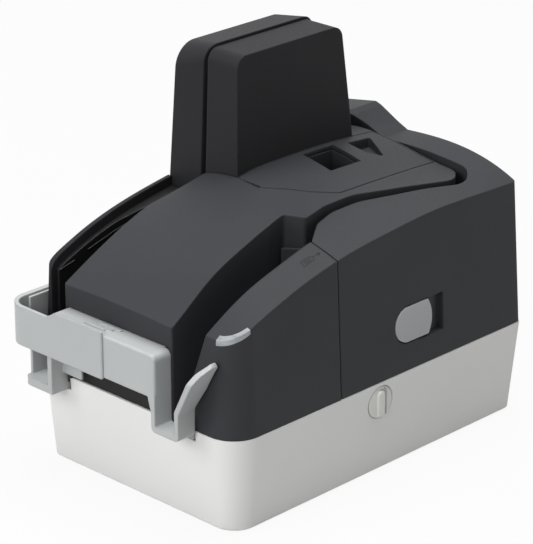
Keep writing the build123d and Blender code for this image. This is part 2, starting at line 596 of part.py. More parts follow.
def feed_loop():
    """Band over the left half of the bar that wraps round the body's front left corner."""
    inside, end = SECTION_FRONT + LOOP_FRONT_WALL, BAR_FRONT - 0.02
    outer = [(55.3, SECTION_FRONT, 1.0), (LOOP_LEFT, SECTION_FRONT, 11), (LOOP_LEFT, 16, 2), (-1.6, 16, 0),
             (-1.6, 13.2, 0), (LOOP_LEFT + LOOP_WALL, 13.2, 0), (LOOP_LEFT + LOOP_WALL, inside, 8.2),
             (20, inside, 0), (20, end, 0), (55.3, end, 0)]
    low = BAR_LOW - 0.2
    side = [(-12, low - 1, 0), (56, low, 1.5), (56, BAR_HIGH + 1.9, 2.2), (24.3, BAR_HIGH + 1.9, 3),
            (17.7, BAR_HIGH - 1.8, 0.8), (-12, BAR_HIGH - 1.6, 0)]
    return prism(outline_face(outer), low, 90) & prism_y(outline_face(side), -20, 20)


# ---------------------------------------------------------------- transport
def driven_shaft(name):
    x, y, radius = DRIVEN[name]
    return post(x, y, FLOOR - DECK + 0.2, SHAFT_TOP, SHAFT_RADIUS)


def driven_roller(name):
    x, y, radius = DRIVEN[name]
    core = SHAFT_RADIUS + 2.6
    roller = post(x, y, ROLLER_LEVELS[0][0] - 2, ROLLER_LEVELS[1][1], core)
    for low, high in ROLLER_LEVELS:
        roller += post(x, y, low, high, radius)
    return roller - post(x, y, 40, 100, SHAFT_RADIUS + FIT_GAP)


def driven_pulley(x, y):
    low, high = BELT_LEVEL
    pulley = post(x, y, low, high, PULLEY_RADIUS) + post(x, y, high, high + 0.9, PULLEY_RADIUS + 1.2)
    return pulley - post(x, y, low - 1, high + 2, SHAFT_RADIUS + FIT_GAP)


def motor_pulley():
    x, y = MOTOR
    low, high = BELT_LEVEL
    pulley = post(x, y, low, high, PULLEY_RADIUS)
    return pulley + post(x, y, 41.2, low, 2.5) + post(x, y, high, high + 0.9, PULLEY_RADIUS + 1.2)


def transport_motor():
    x, y = MOTOR
    can = fillet(block(x - 21, x + 21, y - 21, y + 21, 12.6, 40.2).edges().filter_by(Axis.Z), 4)
    return can + post(x, y, 40.2, 41.1, 11)


def belt_area(radius):
    """Area inside a belt that runs round every pulley at this radius."""
    centres = [DRIVEN["feed"][:2], MOTOR, *[DRIVEN[name][:2] for name in ("eject", "turn", "exit", "entry")]]
    return offset(Polygon(*centres, align=None), radius, kind=Kind.ARC)


def drive_belt():
    """Belt round the pulleys of the motor and of all the driven shafts."""
    low, high = BELT_LEVEL
    return prism(belt_area(PULLEY_RADIUS + 1.3) - belt_area(PULLEY_RADIUS + 0.05), low + 0.3, high - 0.3)


def idler_roller(name):
    x, y, radius = IDLERS[name]
    roller = post(x, y, 53.4, 92.6, 3.6)
    for low, high in ROLLER_LEVELS:
        roller += post(x, y, low, high, radius)
    return roller - post(x, y, 50, 100, IDLER_PIN_RADIUS + RUNNING_GAP)


def idler_pins(names, low, high):
    return [post(IDLERS[name][0], IDLERS[name][1], low, high, IDLER_PIN_RADIUS) for name in names]


def dowel_pins():
    """The pins that stay in the frame: two for idlers, one for the pressure plate."""
    pins = idler_pins(("entry", "exit"), FLOOR - DECK, 97)
    return group([*pins, post(*PLATE_PIVOT, 46, 94, PLATE_PIN_RADIUS)])


def cover_idler_pins():
    return group(idler_pins(("turn", "eject"), IDLER_BRACKETS[0][0], IDLER_BRACKETS[1][1]))


def roller_bridge():
    """Plate inside the island that carries the upper ends of three shafts."""
    low, high = BRIDGE_LEVEL
    plan = [(22, 38), (34, 36), (44, 46), (62, 70), (84, 84), (88.2, 92), (87.6, 112), (90, 130), (90, 150),
            (78, 170), (60, 170), (51.6, 158), (51.6, 78.4), (36, 74), (24, 54)]
    plate = prism(Polygon(*plan, align=None), low, high)
    for name in ("feed", "turn", "eject"):
        x, y, radius = DRIVEN[name]
        plate -= post(x, y, 90, 110, SHAFT_RADIUS + RUNNING_GAP)
    plate -= block(70.6, 88.4, 120, 146, 90, 110)
    for x, y in ((58, 100), (58, 150)):
        plate += post(x, y, FLOOR, high, 3)
    plate += post(52, 71, FLOOR, high, 3)
    return plate


def tower_bridge():
    """Plate across the right tower that carries the two slot shafts."""
    low, high = BRIDGE_LEVEL
    plate = block(SLOT_RIGHT + WALL, TOWER_RIGHT - WALL, 85, 155, low, high)
    for name in ("entry", "exit"):
        x, y, radius = DRIVEN[name]
        plate -= post(x, y, 90, 110, SHAFT_RADIUS + RUNNING_GAP)
    plate -= block(SLOT_RIGHT, 44.5, 108, 132, 90, 110)
    return plate


def shaft_bushes():
    bushes = []
    for x, y, radius in DRIVEN.values():
        bush = post(x, y, FLOOR - DECK, FLOOR, BUSH_RADIUS) + post(x, y, FLOOR, FLOOR + 1.2, 5.6)
        bushes.append(bush - post(x, y, 38, 46, SHAFT_RADIUS + RUNNING_GAP))
    return group(bushes)


# ---------------------------------------------------------------- reading and printing
def image_sensor(side):
    if side == "left":
        return block(12.5, SLOT_LEFT - WALL - 0.1, 112, 128, 51, 162)
    return block(SLOT_RIGHT + WALL + 0.1, 43.5, 112, 128, 51, 162)


def sensor_glass(side):
    if side == "left":
        return block(SLOT_LEFT - WALL - 0.1, SLOT_LEFT - 0.05, 114.2, 125.8, 52.2, 159.8)
    return block(SLOT_RIGHT + 0.05, SLOT_RIGHT + WALL + 0.1, 114.2, 125.8, 52.2, 159.8)


def magnetic_head():
    head = block(16, SLOT_LEFT - 1.6, 83.2, 88.4, 48.6, 63.4)
    return head + post(SLOT_LEFT - 1.7, 85.8, 49.4, 62.6, 1.6)


def pressure_plate():
    """Sprung plate that pushes the stack of cheques against the feed roller."""
    plate = block(8.4, 9.8, 25.5, 57.4, 47, 92)
    for z in (56, 66, 76, 86):
        plate += block(9.6, 10.5, 27, 56, z, z + 1)
    plate += post(*PLATE_PIVOT, 47, 92, 2.6)
    return plate - post(*PLATE_PIVOT, 46, 93, PLATE_PIN_RADIUS + RUNNING_GAP)


def ink_cartridge():
    body = block(72, 84.6, 121, 145, 92, 116)
    return body + block(84.6, 88, 129, 137, 96, 104) + block(74, 82, 128, 138, 116, 118)


def exit_guide():
    """Block at the inner end of the pocket, under the notch in the island."""
    plan = [(88.8, 67.6, 0), (94.9, 72.6, 1.5), (98.1, 76, 0), (97, 76.4, 0), (95.2, 74.2, 0), (88.8, 69.4, 0)]
    return prism(outline_face(plan), FLOOR, 109.6)


# ---------------------------------------------------------------- electronics and small parts
def main_board():
    """Circuit board with its chips, capacitors and a connector soldered on."""
    top = BOARD_LEVEL + BOARD_THICKNESS
    board = block(25.5, 100.5, 106, 184, BOARD_LEVEL, top)
    for x, y in BOARD_POSTS:
        board -= post(x, y, 5, 15, 1.1)
    board += block(36, 48, 120, 132, top, top + 2) + block(76, 90, 120, 134, top, top + 2.4)
    board += block(60, 84, 148, 160, top, top + 2.2) + block(88, 100, 146, 170, top, top + 6)
    for y in (150, 164):
        board += post(31, y, top, top + 12, 5)
    return board


def usb_port():
    x, _, z = REAR_PORTS
    shell_box = block(x - 6, x + 6, 172, 191, BOARD_LEVEL + BOARD_THICKNESS, z + 5.4)
    tongue = block(x - 2.8, x + 2.8, 180, 193, z - 1.6, z + 1.6)
    socket = block(x - 4.3, x + 4.3, 181, 192, z - 3.9, z + 3.9) - tongue
    return shell_box - socket


def power_jack():
    _, x, z = REAR_PORTS
    jack = block(x - 5, x + 5, 172, 184, BOARD_LEVEL + BOARD_THICKNESS, z + 5) + rod_y(183, 191.4, x, z, 4.6)
    bore = rod_y(176, 192, x, z, 3.2) - rod_y(176, 190, x, z, 1.0)
    return jack - bore


def feet():
    pads = []
    for x in (28, 98):
        for y in (18, 182):
            pads.append(post(x, y, TABLE, BASE_BOTTOM, 6))
    return group(pads)


def base_screws():
    """Long screws up through the base's bosses into the frame."""
    screws = []
    for x, y in BASE_BOSSES:
        screws.append(post(x, y, 2.4, 4, 2.7) + post(x, y, 3.9, FLOOR - 0.4, SCREW_RADIUS))
    return group(screws)


def machine_screws():
    """Short screws that hold the circuit board and the motor."""
    board_top = BOARD_LEVEL + BOARD_THICKNESS
    screws = []
    for x, y in BOARD_POSTS:
        screws.append(post(x, y, board_top, board_top + 1.5, 2.4) + post(x, y, board_top - 6, board_top, 0.95))
    for dx in (-15.5, 15.5):
        for dy in (-15.5, 15.5):
            screws.append(post(MOTOR[0] + dx, MOTOR[1] + dy, FLOOR, FLOOR + 1.4, 2.4))
    return group(screws)


def collect():
    add("base_tub", base_tub())
    add("main_frame", main_frame())
    add("left_panel", left_panel())
    add("left_guide", left_guide())
    add("tower_left_cover", tower_left_cover())
    add("tower_right_cover", tower_right_cover())
    add("island_cover", island_cover())
    add("imprinter_lid", imprinter_lid())
    add("right_front_cover", right_front_cover())
    add("rear_cover", rear_cover())
    add("hinge_pin", hinge_pin())
    add("release_button", release_button())
    add("button_spring", button_spring())
    add("latch_hook", latch_hook())
    add("base_knob", base_knob())
    add("front_tray", front_tray())
    add("feed_loop", feed_loop())
    add("status_lamp", status_lamp())
    for name in DRIVEN:
        x, y, radius = DRIVEN[name]
        add(name + "_shaft", driven_shaft(name))
        add(name + "_roller", driven_roller(name))
        add(name + "_pulley", driven_pulley(x, y))
    for name in IDLERS:
        add(name + "_idler", idler_roller(name))
    add("dowel_pins", dowel_pins())
    add("cover_idler_pins", cover_idler_pins())
    add("transport_motor", transport_motor())
    add("motor_pulley", motor_pulley())
    add("drive_belt", drive_belt())
    add("roller_bridge", roller_bridge())
    add("tower_bridge", tower_bridge())
    add("shaft_bushes", shaft_bushes())
    for side in ("left", "right"):
        add("image_sensor_" + side, image_sensor(side))
        add("sensor_glass_" + side, sensor_glass(side))
    add("magnetic_head", magnetic_head())
    add("pressure_plate", pressure_plate())
    add("ink_cartridge", ink_cartridge())
    add("exit_guide", exit_guide())
    add("main_board", main_board())
    add("usb_port", usb_port())
    add("power_jack", power_jack())
    add("feet", feet())
    add("base_screws", base_screws())
    add("machine_screws", machine_screws())


def write_part():
    boxes = [solid.bounding_box() for solid in PIECES.values()]
    x_middle = (min(b.min.X for b in boxes) + max(b.max.X for b in boxes)) / 2
    y_middle = (min(b.min.Y for b in boxes) + max(b.max.Y for b in boxes)) / 2
    print("moved by", round(-x_middle, 3), round(-y_middle, 3))
    os.makedirs("parts", exist_ok=True)
    for name, solid in PIECES.items():
        export_step(Pos(-x_middle, -y_middle, -TABLE) * solid, "parts/" + name + ".step")


collect()
write_part()
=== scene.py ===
import math

import bpy
from mathutils import Matrix, Vector


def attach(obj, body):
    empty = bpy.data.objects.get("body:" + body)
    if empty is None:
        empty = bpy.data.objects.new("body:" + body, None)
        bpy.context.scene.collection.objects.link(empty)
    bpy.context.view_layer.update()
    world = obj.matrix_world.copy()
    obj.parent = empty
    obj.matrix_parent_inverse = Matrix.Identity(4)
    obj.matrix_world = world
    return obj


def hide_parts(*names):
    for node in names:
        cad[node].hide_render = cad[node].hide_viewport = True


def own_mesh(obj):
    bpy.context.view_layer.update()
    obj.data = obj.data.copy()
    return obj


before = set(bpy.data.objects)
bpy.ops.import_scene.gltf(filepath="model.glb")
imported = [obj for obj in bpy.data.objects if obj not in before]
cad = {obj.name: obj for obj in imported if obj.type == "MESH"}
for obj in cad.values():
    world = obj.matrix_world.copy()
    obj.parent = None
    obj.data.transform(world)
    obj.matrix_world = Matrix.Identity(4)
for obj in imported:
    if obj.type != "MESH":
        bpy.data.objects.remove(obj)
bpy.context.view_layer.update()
mm = 0.001
origin = Vector((58.2, 92.1, -1.4)) * mm  # from the drawing's corner to the middle of the floor
weld = 0.01 * mm  # doubles closer than this are merged
midNoise = {"From Min": 0.3, "From Max": 0.7}  # most values of a noise texture lie in here
print("frame loaded:", len(cad), "pieces")


def place(x, y, z):
    return Vector((x, y, z)) * mm - origin


def pick(*pieces):
    bpy.ops.object.select_all(action="DESELECT")
    for piece in pieces:
        piece.select_set(True)
    bpy.context.view_layer.objects.active = pieces[-1]


# camera: the photograph's angle, fitted to its edges
camera = {"at": (0.8422, -0.8656, 0.5789), "aim": (-0.00825, 0.00592, 0.0793), "lens": 183.8, "sensor": 36,
          "nearest": 0.05}
bpy.ops.object.select_all(action="DESELECT")
bpy.ops.object.camera_add(location=camera["at"])
cam = bpy.context.object
cam.rotation_mode = "QUATERNION"
cam.rotation_quaternion = (Vector(camera["aim"]) - Vector(camera["at"])).to_track_quat("-Z", "Y")
cam.data.lens = camera["lens"]
cam.data.sensor_width = camera["sensor"]
cam.data.clip_start = camera["nearest"]
bpy.context.scene.camera = cam
print("camera set")


# materials
def colour(code):
    parts = [int(code[i:i + 2], 16) / 255 for i in (1, 3, 5)]
    return [p / 12.92 if p <= 0.04045 else ((p + 0.055) / 1.055) ** 2.4 for p in parts] + [1]


def addNode(tree, kind, settings=None, links=None):
    node = tree.nodes.new(kind)
    for key, value in (settings or {}).items():
        if isinstance(key, int) or key in node.inputs:
            node.inputs[key].default_value = value
        else:
            setattr(node, key, value)
    for key, source in (links or {}).items():
        tree.links.new(source, node.inputs[key])
    return node


def newMaterial(name, shaderSettings):
    material = bpy.data.materials.new(name)
    material.use_nodes = True
    tree = material.node_tree
    tree.nodes.clear()
    shader = addNode(tree, "ShaderNodeBsdfPrincipled", shaderSettings)
    addNode(tree, "ShaderNodeOutputMaterial", {}, {"Surface": shader.outputs[0]})
    spot = addNode(tree, "ShaderNodeTexCoord").outputs["Object"]
    return material, tree, shader, spot


def perMm(size):
    return 1 / (size * mm)  # texture scale for a pattern of this size


# the edge share mixes in the pale colour: partly wear, partly a painted highlight on the edges
moulding = {"flow": 45, "relief": 0.5, "wearAndHighlightFrom": 0.97, "wearAndHighlightTo": 0.75, "wearAndHighlightShare": 0.5, "driftShare": 0.22,
            "glossier": 0.05, "duller": 0.07}


def mouldedPlastic(name, s):
    # injection moulded ABS: spark-eroded grain breaks up the highlight, corners are softly rounded
    # and paler at the edges, partly worn where hands have polished them and partly a painted highlight;
    # the real grain of 0.1 mm is drawn at about 1 mm, or it wouldn't show
    material, tree, shader, spot = newMaterial(name, {
        "IOR": 1.5, "Specular IOR Level": s.get("specular", 0.5)})
    grain = addNode(tree, "ShaderNodeTexNoise", {"Scale": perMm(s["grain"]), "Detail": 3, "Roughness": 0.6},
                    {"Vector": spot}).outputs["Fac"]
    flow = addNode(tree, "ShaderNodeTexNoise", {"Scale": perMm(moulding["flow"]), "Detail": 3},
                   {"Vector": spot}).outputs["Fac"]
    soft = addNode(tree, "ShaderNodeBevel", {"samples": 6, "Radius": s["edge"] * mm}).outputs["Normal"]
    flat = addNode(tree, "ShaderNodeNewGeometry").outputs["Normal"]
    along = addNode(tree, "ShaderNodeVectorMath", {"operation": "DOT_PRODUCT"}, {0: soft, 1: flat}).outputs["Value"]
    # paler edges: partly wear, partly a painted highlight along the rounded corners
    edgeWearAndHighlight = addNode(tree, "ShaderNodeMapRange", {
        "From Min": moulding["wearAndHighlightFrom"], "From Max": moulding["wearAndHighlightTo"], "To Max": moulding["wearAndHighlightShare"]},
        {"Value": along}).outputs["Result"]
    drift = addNode(tree, "ShaderNodeMapRange", {**midNoise, "To Max": moulding["driftShare"]},
                    {"Value": flow}).outputs["Result"]
    share = addNode(tree, "ShaderNodeMath", {"operation": "MAXIMUM"}, {0: edgeWearAndHighlight, 1: drift}).outputs[0]
    shade = addNode(tree, "ShaderNodeMix", {"data_type": "RGBA", "A": colour(s["shade"]), "B": colour(s["paleToneAndHighlight"])},
                    {"Factor": share}).outputs["Result"]
    tree.links.new(shade, shader.inputs["Base Color"])
    gloss = addNode(tree, "ShaderNodeMapRange", {
        **midNoise, "To Min": s["rough"] - moulding["glossier"], "To Max": s["rough"] + moulding["duller"]},
        {"Value": grain}).outputs["Result"]
    tree.links.new(gloss, shader.inputs["Roughness"])
    relief = addNode(tree, "ShaderNodeBump", {"Strength": moulding["relief"], "Distance": s["depth"] * mm},
                     {"Height": grain, "Normal": soft}).outputs["Normal"]
    tree.links.new(relief, shader.inputs["Normal"])
    return material


plastics = {
    "charcoal_moulded_abs": {"shade": "#323336", "paleToneAndHighlight": "#3f4044", "rough": 0.54, "grain": 1.0, "depth": 0.04,
                             "edge": 1.1, "specular": 0.16},
    # the same charcoal ABS made darker: painted shade for the towers and the left panel
    "charcoal_abs_painted_shade": {"shade": "#232325", "paleToneAndHighlight": "#2f2f32", "rough": 0.54, "grain": 1.0, "depth": 0.03,
                           "edge": 1.3, "specular": 0.12},
    "white_moulded_abs": {"shade": "#e1e1df", "paleToneAndHighlight": "#e9e9e7", "rough": 0.48, "grain": 1.0, "depth": 0.03,
                          "edge": 1.0},
    "light_grey_moulded_abs": {"shade": "#acafaf", "paleToneAndHighlight": "#c1c4c4", "rough": 0.42, "grain": 1.1, "depth": 0.03,
                               "edge": 1.1},
    "grey_button_abs": {"shade": "#a3a4a6", "paleToneAndHighlight": "#bcbdbf", "rough": 0.42, "grain": 1.1, "depth": 0.03,
                        "edge": 0.9},
    "ivory_grey_knob_abs": {"shade": "#dadbd6", "paleToneAndHighlight": "#e0e0dc", "rough": 0.40, "grain": 1.1, "depth": 0.02,
                            "edge": 0.8},
    "black_satin_abs": {"shade": "#131314", "paleToneAndHighlight": "#202022", "rough": 0.42, "grain": 1.6, "depth": 0.01,
                           "edge": 0.5, "specular": 0.35},
    # paler than the black guide: a painted highlight on the rib edges
    "pale_rib_abs_painted_highlight": {"shade": "#3a3a3b", "paleToneAndHighlight": "#5a5a5b", "rough": 0.36, "grain": 1.0, "depth": 0.01, "edge": 0.2},
    "black_glass_filled_nylon": {"shade": "#121213", "paleToneAndHighlight": "#222224", "rough": 0.58, "grain": 0.7, "depth": 0.05,
                                 "edge": 0.4, "specular": 0.25},
    "white_acetal": {"shade": "#dcd9cd", "paleToneAndHighlight": "#ebe9e0", "rough": 0.36, "grain": 2.0, "depth": 0.01, "edge": 0.4},
    "black_polypropylene": {"shade": "#1f2023", "paleToneAndHighlight": "#303136", "rough": 0.32, "grain": 1.5, "depth": 0.02,
                            "edge": 0.5},
}
plastic = {name: mouldedPlastic(name, settings) for name, settings in plastics.items()}
print("plastics ready")


machining = {"depth": 0.01, "relief": 0.3, "glossier": 0.06, "duller": 0.1}


def groundMetal(name, s):
    # ground, drawn or plated metal: fine lines run with the tool and stretch the highlight; lines of
    # 0.05 mm are drawn ten times as coarse so that they show
    material, tree, shader, spot = newMaterial(name, {"Metallic": 1})
    along = addNode(tree, "ShaderNodeMapping", {"Scale": s["stretch"]}, {"Vector": spot}).outputs["Vector"]
    lines = addNode(tree, "ShaderNodeTexNoise", {"Scale": perMm(s["line"]), "Detail": 4},
                    {"Vector": along}).outputs["Fac"]
    shade = addNode(tree, "ShaderNodeMix", {"data_type": "RGBA", "A": colour(s["shade"]), "B": colour(s["pale"])},
                    {"Factor": lines}).outputs["Result"]
    tree.links.new(shade, shader.inputs["Base Color"])
    gloss = addNode(tree, "ShaderNodeMapRange", {
        **midNoise, "To Min": s["rough"] - machining["glossier"], "To Max": s["rough"] + machining["duller"]},
        {"Value": lines}).outputs["Result"]
    tree.links.new(gloss, shader.inputs["Roughness"])
    relief = addNode(tree, "ShaderNodeBump", {
        "Strength": machining["relief"], "Distance": machining["depth"] * mm}, {"Height": lines}).outputs["Normal"]
    tree.links.new(relief, shader.inputs["Normal"])
    return material


metals = {
    "ground_shaft_steel": {"shade": "#9a9a9c", "pale": "#c6c6c8", "rough": 0.26, "line": 0.5, "stretch": (0.2, 0.2, 4)},
    "zinc_plated_steel": {"shade": "#a9aaa6", "pale": "#c9cac4", "rough": 0.38, "line": 0.9, "stretch": (1, 1, 1)},
    "sintered_bronze": {"shade": "#7d5c33", "pale": "#a67f4c", "rough": 0.48, "line": 0.4, "stretch": (1, 1, 1)},
    "phosphated_motor_steel": {"shade": "#2b2b2d", "pale": "#3c3c3f", "rough": 0.44, "line": 0.8,
                               "stretch": (1, 1, 0.4)},
}
metal = {name: groundMetal(name, settings) for name, settings in metals.items()}
print("metals ready")


rubber = {"shade": "#161617", "pale": "#2a2a2c", "grit": 0.8, "stretch": (0.4, 0.4, 3.0), "sheen": 0.15,
          "rough": (0.7, 0.88), "depth": 0.05, "relief": 0.5}


def groundRubber(s):
    # ground nitrile rubber: dull black, with faint rings left by the grinding wheel
    material, tree, shader, spot = newMaterial("ground_nitrile_rubber", {"IOR": 1.52, "Sheen Weight": s["sheen"]})
    rings = addNode(tree, "ShaderNodeMapping", {"Scale": s["stretch"]}, {"Vector": spot}).outputs["Vector"]
    grit = addNode(tree, "ShaderNodeTexNoise", {"Scale": perMm(s["grit"]), "Detail": 5},
                   {"Vector": rings}).outputs["Fac"]
    shade = addNode(tree, "ShaderNodeMix", {"data_type": "RGBA", "A": colour(s["shade"]), "B": colour(s["pale"])},
                    {"Factor": grit}).outputs["Result"]
    tree.links.new(shade, shader.inputs["Base Color"])
    gloss = addNode(tree, "ShaderNodeMapRange", {**midNoise, "To Min": s["rough"][0], "To Max": s["rough"][1]},
                    {"Value": grit}).outputs["Result"]
    tree.links.new(gloss, shader.inputs["Roughness"])
    relief = addNode(tree, "ShaderNodeBump", {"Strength": s["relief"], "Distance": s["depth"] * mm}, {"Height": grit})
    tree.links.new(relief.outputs["Normal"], shader.inputs["Normal"])
    return material


frosted = {"shade": "#73787c", "pale": "#aeb2b5", "cloud": 5, "stretch": (1, 1, 3), "scatter": 0.15, "reach": 1,
           "coat": 0.5, "coatRough": 0.12, "rough": (0.22, 0.36)}


def lightGuide(s):
    # frosted polycarbonate light guide: milky blue-grey inside, satin outside, streaked along the mould
    material, tree, shader, spot = newMaterial("frosted_polycarbonate", {
        "IOR": 1.58, "Subsurface Weight": s["scatter"], "Subsurface Scale": s["reach"] * mm,
        "Coat Weight": s["coat"], "Coat Roughness": s["coatRough"]})
    level = addNode(tree, "ShaderNodeMapping", {"Scale": s["stretch"]}, {"Vector": spot}).outputs["Vector"]
    cloud = addNode(tree, "ShaderNodeTexNoise", {"Scale": perMm(s["cloud"]), "Detail": 2},
                    {"Vector": level}).outputs["Fac"]
    shade = addNode(tree, "ShaderNodeMix", {"data_type": "RGBA", "A": colour(s["shade"]), "B": colour(s["pale"])},
                    {"Factor": cloud}).outputs["Result"]
    tree.links.new(shade, shader.inputs["Base Color"])
    gloss = addNode(tree, "ShaderNodeMapRange", {"To Min": s["rough"][0], "To Max": s["rough"][1]},
                    {"Value": cloud}).outputs["Result"]
    tree.links.new(gloss, shader.inputs["Roughness"])
    return material


glass = {"shade": "#20252a", "dusty": "#3a4147", "dust": 6, "dustFrom": (0.45, 0.75), "clear": 0.7,
         "rough": (0.02, 0.14)}


def scannerGlass(s):
    # float glass over the image sensor: dark and clear, with a faint haze of paper dust
    material, tree, shader, spot = newMaterial("float_glass", {"IOR": 1.52, "Transmission Weight": s["clear"]})
    dust = addNode(tree, "ShaderNodeTexNoise", {"Scale": perMm(s["dust"]), "Detail": 6},
                   {"Vector": spot}).outputs["Fac"]
    shade = addNode(tree, "ShaderNodeMix", {"data_type": "RGBA", "A": colour(s["shade"]), "B": colour(s["dusty"])},
                    {"Factor": dust}).outputs["Result"]
    tree.links.new(shade, shader.inputs["Base Color"])
    gloss = addNode(tree, "ShaderNodeMapRange", {
        "From Min": s["dustFrom"][0], "From Max": s["dustFrom"][1], "To Min": s["rough"][0], "To Max": s["rough"][1]},
        {"Value": dust}).outputs["Result"]
    tree.links.new(gloss, shader.inputs["Roughness"])
    return material


board = {"mask": ("#0f4a2a", "#125733"), "copper": "#1f7a48", "epoxy": ("#17181a", "#26282b"), "runs": 9,
         "runWidth": 0.02, "runHeight": 0.2, "runLength": 0.7, "coat": 0.3, "partsAbove": (13.02, 13.08), "grit": 0.8,
         "rough": (0.3, 0.5), "depth": 0.03, "relief": 0.3}


def circuitBoard(s):
    # FR4 board: green solder mask over copper runs, black epoxy parts above the board's face
    material, tree, shader, spot = newMaterial("solder_masked_fr4", {"IOR": 1.5, "Coat Weight": s["coat"]})
    runs = addNode(tree, "ShaderNodeTexBrick", {
        "Color1": colour(s["mask"][0]), "Color2": colour(s["mask"][1]), "Mortar": colour(s["copper"]),
        "Scale": perMm(s["runs"]), "Mortar Size": s["runWidth"], "Row Height": s["runHeight"],
        "Brick Width": s["runLength"]}, {"Vector": spot})
    height = addNode(tree, "ShaderNodeSeparateXYZ", {}, {"Vector": spot}).outputs["Z"]
    raised = addNode(tree, "ShaderNodeMapRange", {
        "From Min": s["partsAbove"][0] * mm, "From Max": s["partsAbove"][1] * mm}, {"Value": height}).outputs["Result"]
    grit = addNode(tree, "ShaderNodeTexNoise", {"Scale": perMm(s["grit"]), "Detail": 3},
                   {"Vector": spot}).outputs["Fac"]
    epoxy = addNode(tree, "ShaderNodeMix", {
        "data_type": "RGBA", "A": colour(s["epoxy"][0]), "B": colour(s["epoxy"][1])},
        {"Factor": grit}).outputs["Result"]
    shade = addNode(tree, "ShaderNodeMix", {"data_type": "RGBA"},
                    {"Factor": raised, "A": runs.outputs["Color"], "B": epoxy}).outputs["Result"]
    tree.links.new(shade, shader.inputs["Base Color"])
    gloss = addNode(tree, "ShaderNodeMapRange", {**midNoise, "To Min": s["rough"][0], "To Max": s["rough"][1]},
                    {"Value": grit}).outputs["Result"]
    tree.links.new(gloss, shader.inputs["Roughness"])
    relief = addNode(tree, "ShaderNodeBump", {"Strength": s["relief"], "Distance": s["depth"] * mm},
                     {"Height": runs.outputs["Fac"]})
    tree.links.new(relief.outputs["Normal"], shader.inputs["Normal"])
    return material


rollerRubber = groundRubber(rubber)
frostedLamp = lightGuide(frosted)
floatGlass = scannerGlass(glass)
boardGreen = circuitBoard(board)
print("materials ready")

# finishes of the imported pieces
finishes = {
    plastic["charcoal_moulded_abs"]: ("island_cover", "imprinter_lid", "right_front_cover",
                                      "rear_cover", "exit_guide"),
    # painted shade: the towers and the left panel get the darker copy of the charcoal ABS
    plastic["charcoal_abs_painted_shade"]: ("tower_left_cover", "tower_right_cover", "left_panel"),
    plastic["white_moulded_abs"]: ("base_tub",),
    plastic["light_grey_moulded_abs"]: ("front_tray", "feed_loop"),
    plastic["grey_button_abs"]: ("release_button",),
    plastic["ivory_grey_knob_abs"]: ("base_knob",),
    plastic["black_satin_abs"]: ("left_guide", "pressure_plate"),
    plastic["black_glass_filled_nylon"]: ("main_frame", "roller_bridge", "tower_bridge", "image_sensor_left",
                                          "image_sensor_right", "latch_hook", "power_jack"),
    plastic["white_acetal"]: ("feed_pulley", "entry_pulley", "exit_pulley", "turn_pulley", "eject_pulley",
                              "motor_pulley", "entry_idler", "exit_idler", "turn_idler", "eject_idler"),
    plastic["black_polypropylene"]: ("ink_cartridge",),
    metal["ground_shaft_steel"]: ("feed_shaft", "entry_shaft", "exit_shaft", "turn_shaft", "eject_shaft",
                                  "hinge_pin", "dowel_pins", "cover_idler_pins", "button_spring"),
    metal["zinc_plated_steel"]: ("base_screws", "machine_screws", "usb_port", "magnetic_head"),
    metal["sintered_bronze"]: ("shaft_bushes",),
    metal["phosphated_motor_steel"]: ("transport_motor",),
    rollerRubber: ("feed_roller", "entry_roller", "exit_roller", "turn_roller", "eject_roller", "drive_belt", "feet"),
    frostedLamp: ("status_lamp",),
    floatGlass: ("sensor_glass_left", "sensor_glass_right"),
    boardGreen: ("main_board",),
}
for material, names in finishes.items():
    for name in names:
        cad[name].data.materials.clear()
        cad[name].data.materials.append(material)
print("finishes given to", sum(len(names) for names in finishes.values()), "of", len(cad))


# pieces with edges that are really rounded
def mergedCopy(name, node):
    piece = bpy.data.objects.new(name, cad[node].data.copy())
    bpy.context.collection.objects.link(piece)
    pick(piece)
    bpy.ops.object.mode_set(mode="EDIT")
    bpy.ops.mesh.select_all(action="SELECT")
    bpy.ops.mesh.remove_doubles(threshold=weld)
    return piece  # still in edit mode


def softenEdges(piece, edge, steps, sharperThan):
    bevel = piece.modifiers.new("softEdge", "BEVEL")
    bevel.width = edge * mm
    bevel.segments = steps
    bevel.limit_method = "ANGLE"
    bevel.angle_limit = math.radians(sharperThan)
    bpy.ops.object.modifier_apply(modifier=bevel.name)


def softCopy(s):
    piece = mergedCopy(s["name"], s["node"])
    bpy.ops.mesh.dissolve_limited(angle_limit=math.radians(2))  # flat faces whole again, so that the bevel runs clean
    bpy.ops.object.mode_set(mode="OBJECT")
    softenEdges(piece, s["edge"], s["steps"], s["from"])
    bpy.ops.object.shade_smooth_by_angle(angle=math.radians(50))
    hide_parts(s["node"])
    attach(piece, s["body"])
    return piece


softPieces = [
    {"name": "lamp_lens", "node": "status_lamp", "body": "chassis", "slot": "lamp_plastic", "edge": 1.1, "steps": 5,
     "from": 40},
    {"name": "oval_button", "node": "release_button", "body": "release_button", "slot": "grey_plastic", "edge": 0.7,
     "steps": 4, "from": 40},
    {"name": "button_coil", "node": "button_spring", "body": "rear_cover", "slot": "steel", "edge": 0.1, "steps": 2,
     "from": 50, "squeezed": {"joint": "release_button_slide", "axis": (1, 0, 0), "anchor": (108.5, 119.2, 68.2),
                              "keep": 0.48}},
]
for settings in softPieces:
    piece = softCopy(settings)
    squeeze = settings.get("squeezed")
    if squeeze:  # the coil gets a mesh of its own
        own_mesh(piece)
    print(settings["name"], "rounded")


# knob: a disc with a sunk field, and a finger ridge with a round top standing in it
knob = {"centre": (96.0, 35.3), "radius": 7.8, "sides": 96, "back": 124.6, "face": 125.5, "floor": 124.9,
        "top": 126.75, "rim": 0.25, "ridgeSunk": 0.2, "stemShort": 0.05, "cutterAbove": 1,
        "field": {"y": (95.4, 100.3), "z": (24.0, 42.0), "round": 2.3, "soft": 0.1},
        "ridge": {"y": (93.5, 98.2), "z": (28.2, 41.0), "round": 2.3, "soft": 0.7}}


